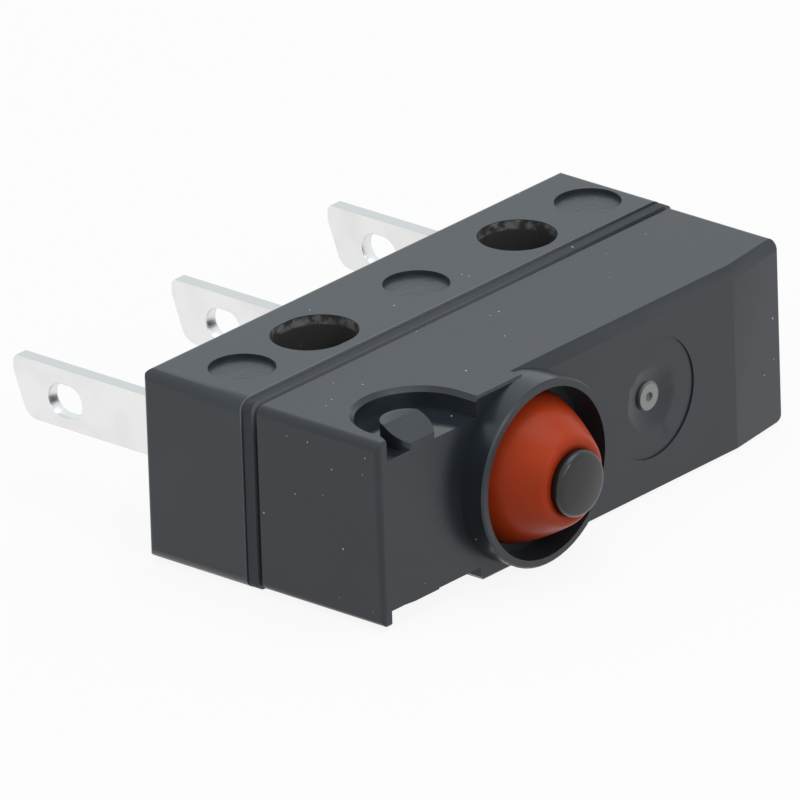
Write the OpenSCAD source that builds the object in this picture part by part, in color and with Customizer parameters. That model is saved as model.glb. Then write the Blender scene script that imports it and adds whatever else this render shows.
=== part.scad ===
// Sub-miniature sealed snap-action switch with a pin plunger.
// Origin: middle between the two mounting holes, on the plane the housing lies on.
// X runs along the housing, +Y towards the terminals, Z through the thickness.
// Distances called "forward" count from the mounting hole line towards the plunger, along -Y.

/* [Housing] */
// Length of the housing at the seam
body_length = 19.8; // [19.6:0.1:22]
// Thickness of the housing at the seam
body_thickness = 6.3; // [6.3:0.1:8]
// Middle of the housing from the middle between the mounting holes, along X
body_offset = -0.2; // [-0.4:0.05:0.2]
// Mounting hole line to the back face
hole_to_back = 2.31; // [2.2:0.01:3]
// Mounting hole line to the edge of the base at the seam
hole_to_seam = 1.65; // [1.5:0.01:1.75]
// Mounting hole line to the front face of the cover
hole_to_front = 6.75; // [6.6:0.01:7]
// Taper taken off each side of the base between the seam and the back
base_draft = 0.01; // [0.01:0.01:0.12]
// Rounding of the base's edges that run from front to back
base_edge_r = 0.5; // [0.2:0.05:0.7]
// Rounding of the base's back edges
back_edge_r = 0.2; // [0.1:0.05:0.5]
// Step from the base's faces in to the cover's faces
cover_inset = 0.11; // [0.05:0.01:0.15]
// Rounding of the cover's edges that run from front to back
cover_edge_r = 0.3; // [0.1:0.05:0.35]

/* [Mounting holes] */
// Distance between the mounting holes
hole_spacing = 9.5; // [9:0.1:10]
// Diameter of the round hole, and width of the long one
hole_d = 2.5; // [2.2:0.05:2.6]
// Extra length of the long hole
slot_extra = 0.4; // [0.05:0.05:0.6]

/* [Seam] */
// Gap between the base's edge and the cover's rim
seam_gap = 0.06; // [0.05:0.01:0.2]
// Width of the rim that shows in the seam
rim_width = 0.36; // [0.3:0.01:0.45]
// Depth of the rim below the base's faces
rim_inset = 0.06; // [0.04:0.01:0.2]
// Width of the groove between the rim and the cover's edge
groove_width = 0.15; // [0.1:0.01:0.25]
// Depth of the grooves below the base's faces
groove_inset = 0.5; // [0.4:0.01:0.6]
// Chamfer of the edges along the seam
seam_chamfer = 0.03; // [0.02:0.01:0.1]

/* [Disc recesses] */
// Diameter of the round recesses in the base's upper face
disc_d = 2.1; // [1.6:0.05:2.2]
// Depth of the round recesses
disc_depth = 0.15; // [0.05:0.05:0.4]
// Round recess at the plunger's end, from that end of the base to its middle
disc_from_left = 2; // [1.8:0.05:2.2]
// Round recess at the far end, from that end of the base to its middle
disc_from_right = 1.6; // [1.4:0.05:1.8]

/* [Cover front] */
// How far the half beside the lever recess stands forward of the front face
nose_step = 0.33; // [0.1:0.01:0.6]
// Length of the facet at the far end of the front face
facet_length = 2.56; // [1:0.02:3]
// How far that facet falls back at the end
facet_setback = 0.36; // [0.05:0.01:0.5]
// Front bevel, taken off the broad face
bevel_run = 0.19; // [0.05:0.01:0.3]
// Front bevel, taken off the front face
bevel_drop = 0.43; // [0.1:0.01:0.5]
// Bevel of the half beside the lever recess
nose_bevel = 0.07; // [0.05:0.01:0.2]
// Rounding of the upright corner at the plunger's end of the cover
nose_corner_r = 0.2; // [0.05:0.01:0.3]
// Rounding of the upright corner at the far end of the facet
facet_corner_r = 0.08; // [0.05:0.01:0.5]
// Middle of the gate mark from the far end of the cover
gate_from_end = 6.5; // [6.4:0.05:7]
// Diameter of the sunk disc round the gate mark
gate_disc_d = 3.94; // [3:0.02:4.2]
// Depth of the sunk disc
gate_disc_depth = 0.05; // [0.02:0.01:0.1]
// Diameter of the dish
gate_dish_d = 2.3; // [1.5:0.05:2.8]
// Depth of the dish
gate_dish_depth = 0.2; // [0.1:0.01:0.35]
// Diameter of the gate nub
gate_nub_d = 0.85; // [0.5:0.01:1]
// Diameter of the pit in the nub
gate_pit_d = 0.3; // [0.15:0.01:0.4]
// Height of the nub over the bottom of the dish
gate_nub_height = 0.12; // [0.05:0.01:0.2]

/* [Lever recess] */
// Radius of the recess's round back
recess_r = 1.9; // [1.6:0.01:2]
// Depth of the recess in the upper face
recess_depth = 0.66; // [0.4:0.02:0.8]
// Depth of the recess in the lower face
under_depth = 0.48; // [0.4:0.02:0.8]
// Middle of the round back from the cover's end
recess_from_end = 2.64; // [2.6:0.01:2.8]
// Mounting hole line forward to the middle of the round back
recess_forward = 6.35; // [6.2:0.01:6.5]
// Radius of the pivot boss
boss_r = 0.82; // [0.5:0.01:0.9]
// Pivot boss from the middle of the round back, towards the cover's end
boss_shift = 0.59; // [0.5:0.01:0.7]
// Pivot boss forward of the middle of the round back
boss_forward = 0.12; // [0:0.01:0.3]
// Start of the boss's ramp behind the middle of the boss
ramp_back = 0.25; // [0:0.01:0.5]
// Fall of the ramp where it meets the front
ramp_fall = 0.44; // [0.1:0.01:0.5]
// Chamfer round the back of the recess
recess_chamfer = 0.15; // [0.05:0.01:0.2]
// How far the recess widens towards the front, on the side of the cover's end
recess_flare = 0.33; // [0.1:0.01:0.36]

/* [Collar] */
// Plunger axis from the middle between the mounting holes, along X
plunger_x = -3.25; // [-3.4:0.05:-3.1]
// Radius of the collar
collar_r = 3; // [2.8:0.02:3.04]
// Wall of the collar
collar_wall = 0.26; // [0.2:0.01:0.35]
// Height of the collar over the raised half of the front
collar_height = 0.84; // [0.5:0.02:1]
// Depth of the collar's floor below the front face
collar_sink = 0.34; // [0.1:0.01:0.4]
// Chamfer of the collar's rim
collar_chamfer = 0.06; // [0.02:0.01:0.1]

/* [Hollow] */
// Mounting hole line forward to the front of the hollow
hollow_forward = 5.7; // [5.6:0.02:5.8]
// Width of the hollow through the thickness
hollow_width = 3.9; // [3.6:0.05:4]
// Wall at each end of the hollow
end_wall = 1; // [0.8:0.05:1.2]
// Height of the base's spigot in the hollow
spigot_height = 0.27; // [0.2:0.01:0.35]
// Clearance round the spigot
spigot_clearance = 0.05; // [0.02:0.01:0.1]

/* [Plunger] */
// Radius of the head that is pressed
head_r = 1.06; // [1.04:0.01:1.2]
// Mounting hole line forward to the top of the head at rest
free_position = 9.46; // [9.4:0.01:9.6]
// Length of the head down to the boot's lip
head_length = 0.46; // [0.4:0.01:0.6]
// Rounding of the head's edge
head_edge_r = 0.14; // [0.05:0.01:0.25]
// Crown of the head
head_crown = 0.06; // [0.02:0.01:0.12]
// Radius of the neck that the boot's lip grips
neck_r = 0.93; // [0.8:0.01:0.96]
// Length of the neck
neck_length = 0.44; // [0.4:0.01:0.6]
// Radius of the shaft
shaft_r = 1; // [0.98:0.01:1.06]
// Clearance of the shaft in its guide
guide_clearance = 0.05; // [0.02:0.01:0.1]
// Radius of the foot that keeps the plunger in
foot_r = 1.6; // [1.4:0.05:1.7]
// Thickness of the foot
foot_height = 0.45; // [0.3:0.01:0.5]
// Gap between the foot and its stop
stop_clearance = 0.03; // [0.01:0.01:0.1]
// Radius of the nose that presses the lever
nose_r = 0.6; // [0.4:0.02:0.8]
// Rounding of the nose
nose_round = 1; // [0.9:0.05:1.4]

/* [Boot] */
// Radius of the boot's wall near its foot
boot_r = 2.42; // [2.36:0.01:2.46]
// Straight stretch of the boot's wall above its foot
boot_skirt = 0.3; // [0.2:0.01:0.4]
// Radius of the boot's lip
lip_r = 1.53; // [1.48:0.01:1.6]
// Rounding of the lip's outer edge
lip_round = 0.16; // [0.05:0.01:0.2]
// How far the boot's wall is drawn outwards between its foot and its lip
boot_bulge = 0.15; // [0.05:0.01:0.2]
// Thickness of the boot's wall
boot_wall = 0.34; // [0.25:0.01:0.36]
// Radius of the boot's foot
boot_foot_r = 2.6; // [2.52:0.01:2.66]
// Thickness of the boot's foot
boot_foot_height = 0.35; // [0.25:0.01:0.4]
// Clearance of the lip round the neck
lip_clearance = 0.02; // [0.01:0.01:0.05]
// Gap round the boot's foot and round its wall
foot_clearance = 0.02; // [0.01:0.01:0.04]
// Thickness of the ring that holds the boot's foot down
ring_height = 0.12; // [0.08:0.01:0.15]

/* [Terminals] */
// Outer terminals from the ends of the base to the middle of their strip
terminal_from_end = 2.55; // [2.4:0.01:2.7]
// Width of the tabs
tab_width = 2; // [1.8:0.05:2.2]
// Thickness of the terminal strip
strip_thickness = 0.45; // [0.4:0.01:0.5]
// Length of the tabs behind the back face
tab_length = 7.44; // [5:0.05:9]
// Straight stretch of the tab's end
tip_flat = 0.55; // [0.3:0.01:0.8]
// How far the lower corner of the tab's end is cut back
tip_cut = 0.52; // [0.2:0.01:0.8]
// Rounding of the tab's lower corner
tip_round = 0.4; // [0.1:0.01:0.5]
// Chamfer of the tab's upper corner
tip_chamfer = 0.15; // [0.05:0.01:0.25]
// Width of the solder hole
eye_width = 1.08; // [0.8:0.02:1.2]
// Length of the solder hole
eye_length = 1.4; // [1.22:0.02:1.8]
// Middle of the solder hole from the tab's end
eye_from_tip = 2.1; // [1.6:0.05:2.6]
// Solder hole below the middle of the tab
eye_drop = 0.08; // [0:0.01:0.15]
// Clearance of the terminals in the base
terminal_clearance = 0.02; // [0.01:0.01:0.05]

/* [Potting] */
// Depth of the well at the back of the base
well_depth = 0.6; // [0.4:0.02:0.7]
// Width of the well
well_width = 3.2; // [2.6:0.05:4]
// Wall of the base at each end of the well
well_margin = 1.4; // [1.2:0.05:1.6]
// Resin below the back face
resin_drop = 0.12; // [0.05:0.01:0.2]

/* [Contacts] */
// Diameter of the fixed contacts
contact_d = 1.4; // [1:0.02:1.5]
// Height of the contacts
contact_height = 0.3; // [0.2:0.01:0.32]
// Diameter of the moving contact
moving_contact_d = 1.5; // [1.2:0.02:1.6]
// Diameter of the moving contact's shank
shank_d = 0.7; // [0.4:0.02:0.9]
// Gap between the open contacts
contact_gap = 0.45; // [0.35:0.01:0.5]
// Space left between the closed contacts
closed_space = 0.02; // [0.01:0.01:0.03]
// Contact axis from the closing terminal at the far end, along X
contact_from_terminal = 1.55; // [1.5:0.01:1.7]

/* [Snap mechanism] */
// Thickness of the contact arm
arm_thickness = 0.25; // [0.2:0.01:0.26]
// Width of the contact arm
arm_width = 3; // [2.8:0.05:3.2]
// Width of the window in the contact arm
window_width = 1.7; // [1.6:0.02:1.8]
// Length of the contact arm's solid bar beside its pivot
arm_heel = 2.1; // [1.8:0.02:2.2]
// Length of the contact arm's solid bar before the moving contact
arm_bar = 2.2; // [1.8:0.02:2.3]
// Length of the contact arm past the moving contact
arm_toe = 0.9; // [0.8:0.01:1]
// Gap round the contact arm's pivot edge
pivot_clearance = 0.05; // [0.02:0.01:0.08]
// Depth of the pivot groove in the common terminal
pivot_groove = 0.12; // [0.08:0.01:0.18]
// Width of the lever
lever_width = 1.2; // [1:0.02:1.24]
// Thickness of the lever
lever_thickness = 0.25; // [0.2:0.01:0.3]
// Length of the lever behind its pivot
lever_tail = 0.65; // [0.5:0.01:0.8]
// Lever's hook beyond the plunger axis, along X
hook_reach = 1.9; // [1.85:0.01:2]
// How far the lever's hook reaches behind the spring axis
hook_depth = 0.28; // [0.25:0.01:0.35]
// Gap between the plunger's nose and the lever
nose_clearance = 0.07; // [0.05:0.01:0.1]
// Gap between the lever and its seat in the common terminal
seat_clearance = 0.08; // [0.06:0.01:0.12]
// Height of the common terminal's prongs beside the lever
prong_height = 0.35; // [0.2:0.01:0.5]
// Gap at each side of the lever between the prongs
prong_clearance = 0.1; // [0.05:0.01:0.15]
// Radius of the spring's coil at the middle of its wire
coil_r = 0.44; // [0.36:0.01:0.48]
// Thickness of the spring's wire
wire_d = 0.15; // [0.1:0.01:0.17]
// Number of the spring's turns
coil_turns = 14; // [8:1:18]
// Radius of the holes that hold the spring's ends
spring_eye_r = 0.18; // [0.15:0.01:0.2]
// Spring axis forward of the contact arm
spring_forward = 0.34; // [0.3:0.01:0.38]

/* [Hidden] */
$fn = 48;

// Overshoot of cutting shapes past the faces they cut
over = 1;
// Straight steps in a rounded corner of an extruded outline
corner_steps = 6;
// Straight steps along the boot's dome
dome_steps = 12;
// Sides of the spring's wire and steps in one of its turns
wire_sides = 6;
turn_steps = 14;

// Housing faces
z_mid = body_thickness / 2;
base_left = body_offset - body_length / 2;
base_right = body_offset + body_length / 2;
cover_left = base_left + cover_inset;
cover_right = base_right - cover_inset;
cover_low = cover_inset;
cover_high = body_thickness - cover_inset;

// Forward distances
seat_forward = hole_to_seam + seam_gap;
spigot_forward = seat_forward + spigot_height;
rim_forward = seat_forward + rim_width;
cover_back_forward = rim_forward + groove_width;
nose_forward = hole_to_front + nose_step;
collar_forward = nose_forward + collar_height;
floor_forward = hole_to_front - collar_sink;
foot_top_forward = floor_forward + boot_foot_height;
ring_forward = foot_top_forward + foot_clearance + ring_height;

// Facet at the far end of the front
facet_x = cover_right - facet_length;
facet_angle = atan(facet_setback / facet_length);

// Hollow for the mechanism
hollow_left = cover_left + end_wall;
hollow_right = cover_right - end_wall;

// Terminal planes
common_x = base_left + terminal_from_end;
open_x = body_offset;
closed_x = base_right - terminal_from_end;
tab_low = z_mid - tab_width / 2;
tab_high = z_mid + tab_width / 2;
tab_tip = hole_to_back + tab_length;

// Contact stack, from the base forward
contact_x = closed_x - contact_from_terminal;
open_strip_forward = spigot_forward + strip_thickness;
open_face_forward = open_strip_forward + contact_height;
moving_back_forward = open_face_forward + contact_gap;
arm_back_forward = moving_back_forward + contact_height;
arm_front_forward = arm_back_forward + arm_thickness;
moving_front_forward = arm_front_forward + contact_height;
closed_face_forward = moving_front_forward + closed_space;
closed_strip_forward = closed_face_forward + contact_height;
closed_top_forward = closed_strip_forward + strip_thickness;

// Contact arm
arm_pivot_x = common_x + strip_thickness / 2 - pivot_groove + pivot_clearance;
arm_end = contact_x + arm_toe;
window_left = arm_pivot_x + arm_heel;
window_right = contact_x - arm_bar;
spring_axis_forward = arm_front_forward + spring_forward;
spring_end_x = window_right + arm_bar / 4;

// Lever and plunger
foot_forward = hollow_forward - stop_clearance - foot_height;
nose_tip_forward = foot_forward - foot_height;
lever_front_forward = nose_tip_forward - nose_clearance;
lever_back_forward = lever_front_forward - lever_thickness;
hook_x = plunger_x + hook_reach;
lever_seat_forward = lever_back_forward - seat_clearance;
prong_forward = lever_front_forward + prong_height;
head_forward = free_position - head_length;
neck_forward = head_forward - neck_length;

// Lever recess and gate mark
recess_x = cover_left + recess_from_end;
boss_x = recess_x - boss_shift;
boss_y = -(recess_forward + boss_forward);
gate_x = cover_right - gate_from_end;
gate_floor_forward = hole_to_front - gate_disc_depth;
dish_forward = gate_floor_forward - gate_dish_depth;
dish_sphere_r = (pow(gate_dish_d / 2, 2) + pow(gate_dish_depth, 2)) / (2 * gate_dish_depth);

// Points of a round corner, turning a quarter from the given angle
function corner(x, y, r, start) =
  [for (i = [0:corner_steps]) [x + r * cos(start + 90 * i / corner_steps),
    y + r * sin(start + 90 * i / corner_steps)]];

// Point of a curve that runs from a to c and is drawn towards b
function curve_point(a, b, c, t) = (1 - t) * (1 - t) * a + 2 * t * (1 - t) * b + t * t * c;

// Points of a curve that rounds the corner b between a and c
function soft_corner(a, b, c) =
  [for (i = [0:corner_steps]) curve_point(a, b, c, i / corner_steps)];

// Outline in X and Z, carried forward between two distances
module forward_prism(from, to) {
  translate([0, -from, 0]) rotate([90, 0, 0]) linear_extrude(to - from) children();
}

// Outline in Y and Z, carried along X between two places
module length_prism(from, to) {
  translate([from, 0, 0]) rotate([90, 0, 90]) linear_extrude(to - from) children();
}

// Outline in radius and forward distance, turned round an axis along Y
module turned(x, z) {
  translate([x, 0, z]) rotate([90, 0, 0]) rotate_extrude() children();
}

// Round bar along Y between two forward distances
module forward_bar(x, z, r, from, to) {
  translate([x, -from, z]) rotate([90, 0, 0]) cylinder(h = to - from, r = r);
}

// Block given by its X, forward and Z limits
module block(x, forward, z) {
  translate([x[0], -forward[1], z[0]]) cube([x[1] - x[0], forward[1] - forward[0], z[1] - z[0]]);
}

// Rectangle with round corners, between two corners
module round_rect(low, high, r) {
  translate([low[0] + r, low[1]]) square([high[0] - low[0] - 2 * r, high[1] - low[1]]);
  translate([low[0], low[1] + r]) square([high[0] - low[0], high[1] - low[1] - 2 * r]);
  for (x = [low[0] + r, high[0] - r], y = [low[1] + r, high[1] - r]) translate([x, y]) circle(r);
}

// Section of the housing, set in from the base's faces
module housing_section(inset, r) {
  round_rect([base_left + inset, inset], [base_right - inset, body_thickness - inset], r);
}

// Half a shape and its mirror image across the middle of the thickness
module both_faces() {
  children();
  translate([0, 0, body_thickness]) mirror([0, 0, 1]) children();
}

// Straight bevel along X on the upper front edge of the cover
module front_bevel(from, to, forward, run, drop) {
  length_prism(from, to) polygon([
    [-(forward - run) + run * over, cover_high + drop * over],
    [-forward - run * over, cover_high - drop - drop * over],
    [-forward - over, cover_high - drop - drop * over],
    [-forward - over, cover_high + drop * over]]);
}

// Slot or body of one terminal plate, standing across the length
module terminal_plate(x, from_y, to_y, spare) {
  block([x - strip_thickness / 2 - spare, x + strip_thickness / 2 + spare], [-to_y, -from_y],
    [tab_low - spare, tab_high + spare]);
}

module mounting_holes() {
  translate([hole_spacing / 2, 0, -over]) cylinder(h = body_thickness + 2 * over, d = hole_d);
  translate([-hole_spacing / 2, 0, -over]) linear_extrude(body_thickness + 2 * over) {
    square([slot_extra, hole_d], center = true);
    for (side = [-1, 1]) translate([side * slot_extra / 2, 0]) circle(d = hole_d);
  }
}

module base_side_outline() {
  polygon(concat([[-hole_to_seam, 0]],
    corner(hole_to_back - back_edge_r, base_draft + back_edge_r, back_edge_r, -90),
    corner(hole_to_back - back_edge_r, body_thickness - base_draft - back_edge_r, back_edge_r, 0),
    [[-hole_to_seam, body_thickness]]));
}

module base_top_outline() {
  polygon(concat([[base_left + seam_chamfer, -hole_to_seam], [base_right - seam_chamfer, -hole_to_seam],
      [base_right, seam_chamfer - hole_to_seam]],
    corner(base_right - base_draft - back_edge_r, hole_to_back - back_edge_r, back_edge_r, 0),
    corner(base_left + base_draft + back_edge_r, hole_to_back - back_edge_r, back_edge_r, 90),
    [[base_left, seam_chamfer - hole_to_seam]]));
}

module base() {
  color([0.27, 0.29, 0.31]) difference() {
    union() {
      intersection() {
        forward_prism(-hole_to_back - over, hole_to_seam) housing_section(0, base_edge_r);
        length_prism(base_left - over, base_right + over) base_side_outline();
        translate([0, 0, -over]) linear_extrude(body_thickness + 2 * over) base_top_outline();
      }
      forward_prism(0, seat_forward) housing_section(groove_inset, cover_edge_r);
      block([hollow_left + spigot_clearance, hollow_right - spigot_clearance], [0, spigot_forward],
        [z_mid - hollow_width / 2 + spigot_clearance, z_mid + hollow_width / 2 - spigot_clearance]);
    }
    mounting_holes();
    for (x = [base_left + disc_from_left, 0, base_right - disc_from_right])
      translate([x, 0, body_thickness - disc_depth])
        cylinder(h = disc_depth + over, d = disc_d);
    for (x = [common_x, open_x, closed_x])
      terminal_plate(x, -spigot_forward - over, hole_to_back + over, terminal_clearance);
    block([base_left + well_margin, base_right - well_margin],
      [-hole_to_back - over, well_depth - hole_to_back],
      [z_mid - well_width / 2, z_mid + well_width / 2]);
  }
}

module terminal_potting() {
  color([0.12, 0.12, 0.13]) difference() {
    block([base_left + well_margin, base_right - well_margin],
      [resin_drop - hole_to_back, well_depth - hole_to_back],
      [z_mid - well_width / 2, z_mid + well_width / 2]);
    for (x = [common_x, open_x, closed_x])
      terminal_plate(x, 0, hole_to_back + over, terminal_clearance);
  }
}

module cover_top_outline() {
  facet_end = [cover_right, facet_setback - hole_to_front];
  nose_end = [cover_left, -nose_forward];
  along_facet = [-cos(facet_angle), -sin(facet_angle)];
  polygon(concat([[cover_left, -cover_back_forward], [cover_right, -cover_back_forward]],
    soft_corner(facet_end + [0, facet_corner_r], facet_end, facet_end + facet_corner_r * along_facet),
    [[facet_x, -hole_to_front], [plunger_x, -hole_to_front], [plunger_x, -nose_forward]],
    soft_corner(nose_end + [nose_corner_r, 0], nose_end, nose_end + [0, nose_corner_r])));
}

module recess_pocket(depth) {
  translate([0, 0, cover_high - depth]) linear_extrude(depth + over) {
    translate([recess_x, -recess_forward]) circle(recess_r);
    translate([recess_x - recess_r, -nose_forward - over])
      square([2 * recess_r, nose_forward + over - recess_forward]);
    polygon([[recess_x, -recess_forward], [recess_x - recess_r, -recess_forward],
      [recess_x - recess_r - recess_flare, -nose_forward],
      [recess_x - recess_r - recess_flare, -nose_forward - over], [recess_x, -nose_forward - over]]);
  }
  translate([recess_x, -recess_forward, cover_high - recess_chamfer])
    cylinder(h = 2 * recess_chamfer, r1 = recess_r, r2 = recess_r + 2 * recess_chamfer);
  forward_prism(recess_forward, nose_forward + over) polygon([
    [recess_x - recess_r, cover_high - recess_chamfer], [recess_x + recess_r, cover_high - recess_chamfer],
    [recess_x + recess_r + 2 * recess_chamfer, cover_high + recess_chamfer],
    [recess_x - recess_r - 2 * recess_chamfer, cover_high + recess_chamfer]]);
}

module pivot_boss() {
  difference() {
    translate([boss_x, boss_y, 0]) cylinder(h = cover_high, r = boss_r);
    length_prism(boss_x - boss_r - over, boss_x + boss_r + over) polygon([
      [boss_y + ramp_back, cover_high],
      [-nose_forward, cover_high - ramp_fall],
      [-nose_forward - over, cover_high - ramp_fall],
      [-nose_forward - over, cover_high + over],
      [boss_y + ramp_back, cover_high + over]]);
  }
}

module gate_mark() {
  forward_bar(gate_x, z_mid, gate_disc_d / 2, gate_floor_forward, hole_to_front + over);
  translate([gate_x, -(dish_forward + dish_sphere_r), z_mid]) sphere(dish_sphere_r);
}

module gate_nub() {
  difference() {
    forward_bar(gate_x, z_mid, gate_nub_d / 2, dish_forward - gate_nub_height,
      dish_forward + gate_nub_height);
    forward_bar(gate_x, z_mid, gate_pit_d / 2, dish_forward, dish_forward + over);
  }
}

module cover() {
  color([0.25, 0.26, 0.28]) {
    difference() {
      union() {
        intersection() {
          forward_prism(cover_back_forward, nose_forward) housing_section(cover_inset, cover_edge_r);
          difference() {
            linear_extrude(body_thickness) cover_top_outline();
            front_bevel(plunger_x, facet_x + over, hole_to_front, bevel_run, bevel_drop);
            translate([facet_x, -hole_to_front, 0]) rotate([0, 0, facet_angle])
              front_bevel(0, facet_length + 1, 0, bevel_run, bevel_drop);
            both_faces() front_bevel(cover_left - over, plunger_x, nose_forward, nose_bevel, nose_bevel);
          }
        }
        forward_prism(rim_forward, cover_back_forward + over) housing_section(groove_inset, cover_edge_r);
        forward_prism(seat_forward, rim_forward) housing_section(rim_inset, cover_edge_r);
        turned(plunger_x, z_mid) polygon([[0, hollow_forward], [collar_r, hollow_forward],
          [collar_r, collar_forward - collar_chamfer], [collar_r - collar_chamfer, collar_forward],
          [0, collar_forward]]);
      }
      block([hollow_left, hollow_right], [seat_forward - over, hollow_forward],
        [z_mid - hollow_width / 2, z_mid + hollow_width / 2]);
      forward_bar(plunger_x, z_mid, collar_r - collar_wall, ring_forward, collar_forward + over);
      forward_bar(plunger_x, z_mid, boot_r + foot_clearance, floor_forward, collar_forward);
      forward_bar(plunger_x, z_mid, boot_foot_r + foot_clearance, floor_forward,
        foot_top_forward + foot_clearance);
      forward_bar(plunger_x, z_mid, shaft_r + guide_clearance, hollow_forward - over, collar_forward);
      difference() {
        recess_pocket(recess_depth);
        pivot_boss();
      }
      translate([0, 0, body_thickness]) mirror([0, 0, 1]) difference() {
        recess_pocket(under_depth);
        pivot_boss();
      }
      gate_mark();
    }
    gate_nub();
  }
}

module sealing_boot() {
  lip_forward = head_forward - lip_clearance;
  bore_r = neck_r + lip_clearance;
  outer_start = [boot_r, foot_top_forward + boot_skirt];
  outer_end = [lip_r, lip_forward - lip_round];
  outer_pull = (outer_start + outer_end) / 2 + [boot_bulge, 0];
  inner_start = [lip_r - boot_wall, lip_forward - boot_wall];
  inner_end = outer_start - [boot_wall, 0];
  inner_pull = (inner_start + inner_end) / 2 + [boot_bulge, 0];
  color([0.72, 0.24, 0.12]) turned(plunger_x, z_mid) polygon(concat(
    [[boot_r - boot_wall, floor_forward], [boot_foot_r, floor_forward],
      [boot_foot_r, foot_top_forward], [boot_r, foot_top_forward]],
    [for (i = [0:dome_steps - 1]) curve_point(outer_start, outer_pull, outer_end, i / dome_steps)],
    corner(lip_r - lip_round, lip_forward - lip_round, lip_round, 0),
    [[bore_r, lip_forward], [bore_r, lip_forward - boot_wall]],
    [for (i = [0:dome_steps]) curve_point(inner_start, inner_pull, inner_end, i / dome_steps)]));
}

module plunger_pin() {
  face_r = head_r - head_edge_r;
  face_forward = free_position - head_crown;
  nose = [for (i = [0:corner_steps]) let (r = nose_r * i / corner_steps)
    [r, nose_tip_forward + nose_round - sqrt(nose_round * nose_round - r * r)]];
  crown = [for (i = [corner_steps:-1:0]) let (t = i / corner_steps)
    [face_r * t, face_forward + head_crown * (1 - t * t)]];
  color([0.13, 0.13, 0.14]) turned(plunger_x, z_mid) polygon(concat(
    nose,
    [[nose_r, foot_forward], [foot_r, foot_forward], [foot_r, foot_forward + foot_height],
      [shaft_r, foot_forward + foot_height], [shaft_r, neck_forward], [neck_r, neck_forward],
      [neck_r, head_forward], [head_r, head_forward]],
    corner(head_r - head_edge_r, face_forward - head_edge_r, head_edge_r, 0),
    crown));
}

module tab_outline(from_y) {
  low_corner = [tab_tip - tip_cut, tab_low];
  slant_top = [tab_tip, tab_high - tip_flat];
  slant = (slant_top - low_corner) / norm(slant_top - low_corner);
  difference() {
    polygon(concat([[from_y, tab_low]],
      soft_corner(low_corner - [tip_round, 0], low_corner, low_corner + tip_round * slant),
      [slant_top, [tab_tip, tab_high - tip_chamfer], [tab_tip - tip_chamfer, tab_high],
        [from_y, tab_high]]));
    translate([tab_tip - eye_from_tip, z_mid - eye_drop]) {
      square([eye_length - eye_width, eye_width], center = true);
      for (side = [-1, 1]) translate([side * (eye_length - eye_width) / 2, 0]) circle(d = eye_width);
    }
  }
}

module terminal(x, forward) {
  length_prism(x - strip_thickness / 2, x + strip_thickness / 2) tab_outline(-forward);
}

module common_terminal() {
  arm_mid = (arm_back_forward + arm_front_forward) / 2;
  groove = arm_thickness / 2 + pivot_clearance;
  color([0.8, 0.8, 0.78]) difference() {
    terminal(common_x, prong_forward);
    block([common_x - strip_thickness, common_x + strip_thickness],
      [lever_seat_forward, prong_forward + over],
      [z_mid - lever_width / 2 - prong_clearance, z_mid + lever_width / 2 + prong_clearance]);
    block([common_x + strip_thickness / 2 - pivot_groove, common_x + strip_thickness],
      [arm_mid - groove, arm_mid + groove], [tab_low - over, tab_high + over]);
  }
}

module normally_open_terminal() {
  color([0.8, 0.8, 0.78]) union() {
    terminal(open_x, open_strip_forward);
    block([open_x - strip_thickness / 2, contact_x + contact_d / 2], [spigot_forward, open_strip_forward],
      [tab_low, tab_high]);
  }
}

module normally_closed_terminal() {
  color([0.8, 0.8, 0.78]) union() {
    terminal(closed_x, closed_top_forward);
    block([contact_x - contact_d / 2, closed_x + strip_thickness / 2],
      [closed_strip_forward, closed_top_forward],
      [tab_low, tab_high]);
  }
}

module normally_open_contact() {
  color([0.86, 0.86, 0.84])
    forward_bar(contact_x, z_mid, contact_d / 2, open_strip_forward, open_face_forward);
}

module normally_closed_contact() {
  color([0.86, 0.86, 0.84])
    forward_bar(contact_x, z_mid, contact_d / 2, closed_face_forward, closed_strip_forward);
}

module moving_contact() {
  button_r = moving_contact_d / 2;
  color([0.86, 0.86, 0.84]) turned(contact_x, z_mid) polygon([[0, moving_back_forward],
    [button_r, moving_back_forward], [button_r, arm_back_forward], [shank_d / 2, arm_back_forward],
    [shank_d / 2, arm_front_forward], [button_r, arm_front_forward], [button_r, moving_front_forward],
    [0, moving_front_forward]]);
}

module contact_arm() {
  color([0.78, 0.6, 0.35]) difference() {
    block([arm_pivot_x, arm_end], [arm_back_forward, arm_front_forward],
      [z_mid - arm_width / 2, z_mid + arm_width / 2]);
    block([window_left, window_right], [arm_back_forward - over, arm_front_forward + over],
      [z_mid - window_width / 2, z_mid + window_width / 2]);
    forward_bar(contact_x, z_mid, shank_d / 2, arm_back_forward - over, arm_front_forward + over);
    forward_bar(spring_end_x, z_mid, spring_eye_r, arm_back_forward - over, arm_front_forward + over);
  }
}

module actuating_lever() {
  color([0.7, 0.68, 0.62]) difference() {
    union() {
      block([common_x - lever_tail, hook_x], [lever_back_forward, lever_front_forward],
        [z_mid - lever_width / 2, z_mid + lever_width / 2]);
      block([hook_x - lever_thickness, hook_x], [spring_axis_forward - hook_depth, lever_front_forward],
        [z_mid - lever_width / 2, z_mid + lever_width / 2]);
    }
    translate([hook_x - lever_thickness - over, -spring_axis_forward, z_mid]) rotate([0, 90, 0])
      cylinder(h = lever_thickness + 2 * over, r = spring_eye_r);
  }
}

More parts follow.
